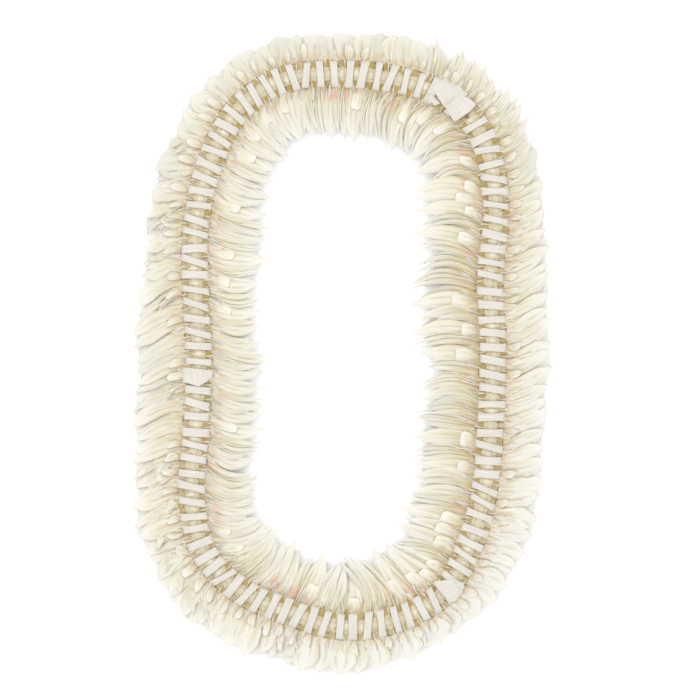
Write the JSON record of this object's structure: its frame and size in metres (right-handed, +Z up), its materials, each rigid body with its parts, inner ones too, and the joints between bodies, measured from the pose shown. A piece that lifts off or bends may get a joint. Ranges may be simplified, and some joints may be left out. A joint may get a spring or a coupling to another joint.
{
  "type": "fresh flower lei",
  "caption": "Closed loop of long-petalled white blossoms laid crosswise in pairs on a spine of flower tubes, bound with wound white woven ribbon, lying flat.",
  "frame": {"origin": "on the table, under the middle of the loop's bounding box", "axes": "+Z up from the table; +Y along the loop's long way, towards the end with the ribbon's join; +X to the right as seen from above"},
  "size_m": [0.2892, 0.4446, 0.0188],
  "materials": {
    "petal": "soft satin",
    "ribbon": "matt woven"
  },
  "bodies": {
    "root": {"blossom_bunch_01": "petal", "blossom_bunch_02": "petal", "blossom_bunch_03": "petal", "blossom_bunch_04": "petal", "blossom_bunch_05": "petal", "blossom_bunch_06": "petal", "blossom_bunch_07": "petal", "blossom_bunch_08": "petal", "blossom_bunch_09": "petal", "blossom_bunch_10": "petal", "blossom_bunch_11": "petal", "blossom_bunch_12": "petal", "blossom_bunch_13": "petal", "blossom_bunch_14": "petal", "blossom_bunch_15": "petal", "blossom_bunch_16": "petal", "blossom_bunch_17": "petal", "blossom_bunch_18": "petal", "blossom_bunch_19": "petal", "blossom_bunch_20": "petal", "blossom_bunch_21": "petal", "blossom_bunch_22": "petal", "blossom_bunch_23": "petal", "blossom_bunch_24": "petal", "blossom_bunch_25": "petal", "blossom_bunch_26": "petal", "binding_strip_1": "ribbon", "binding_strip_2": "ribbon", "binding_strip_3": "ribbon"}
  },
  "joints": []
}
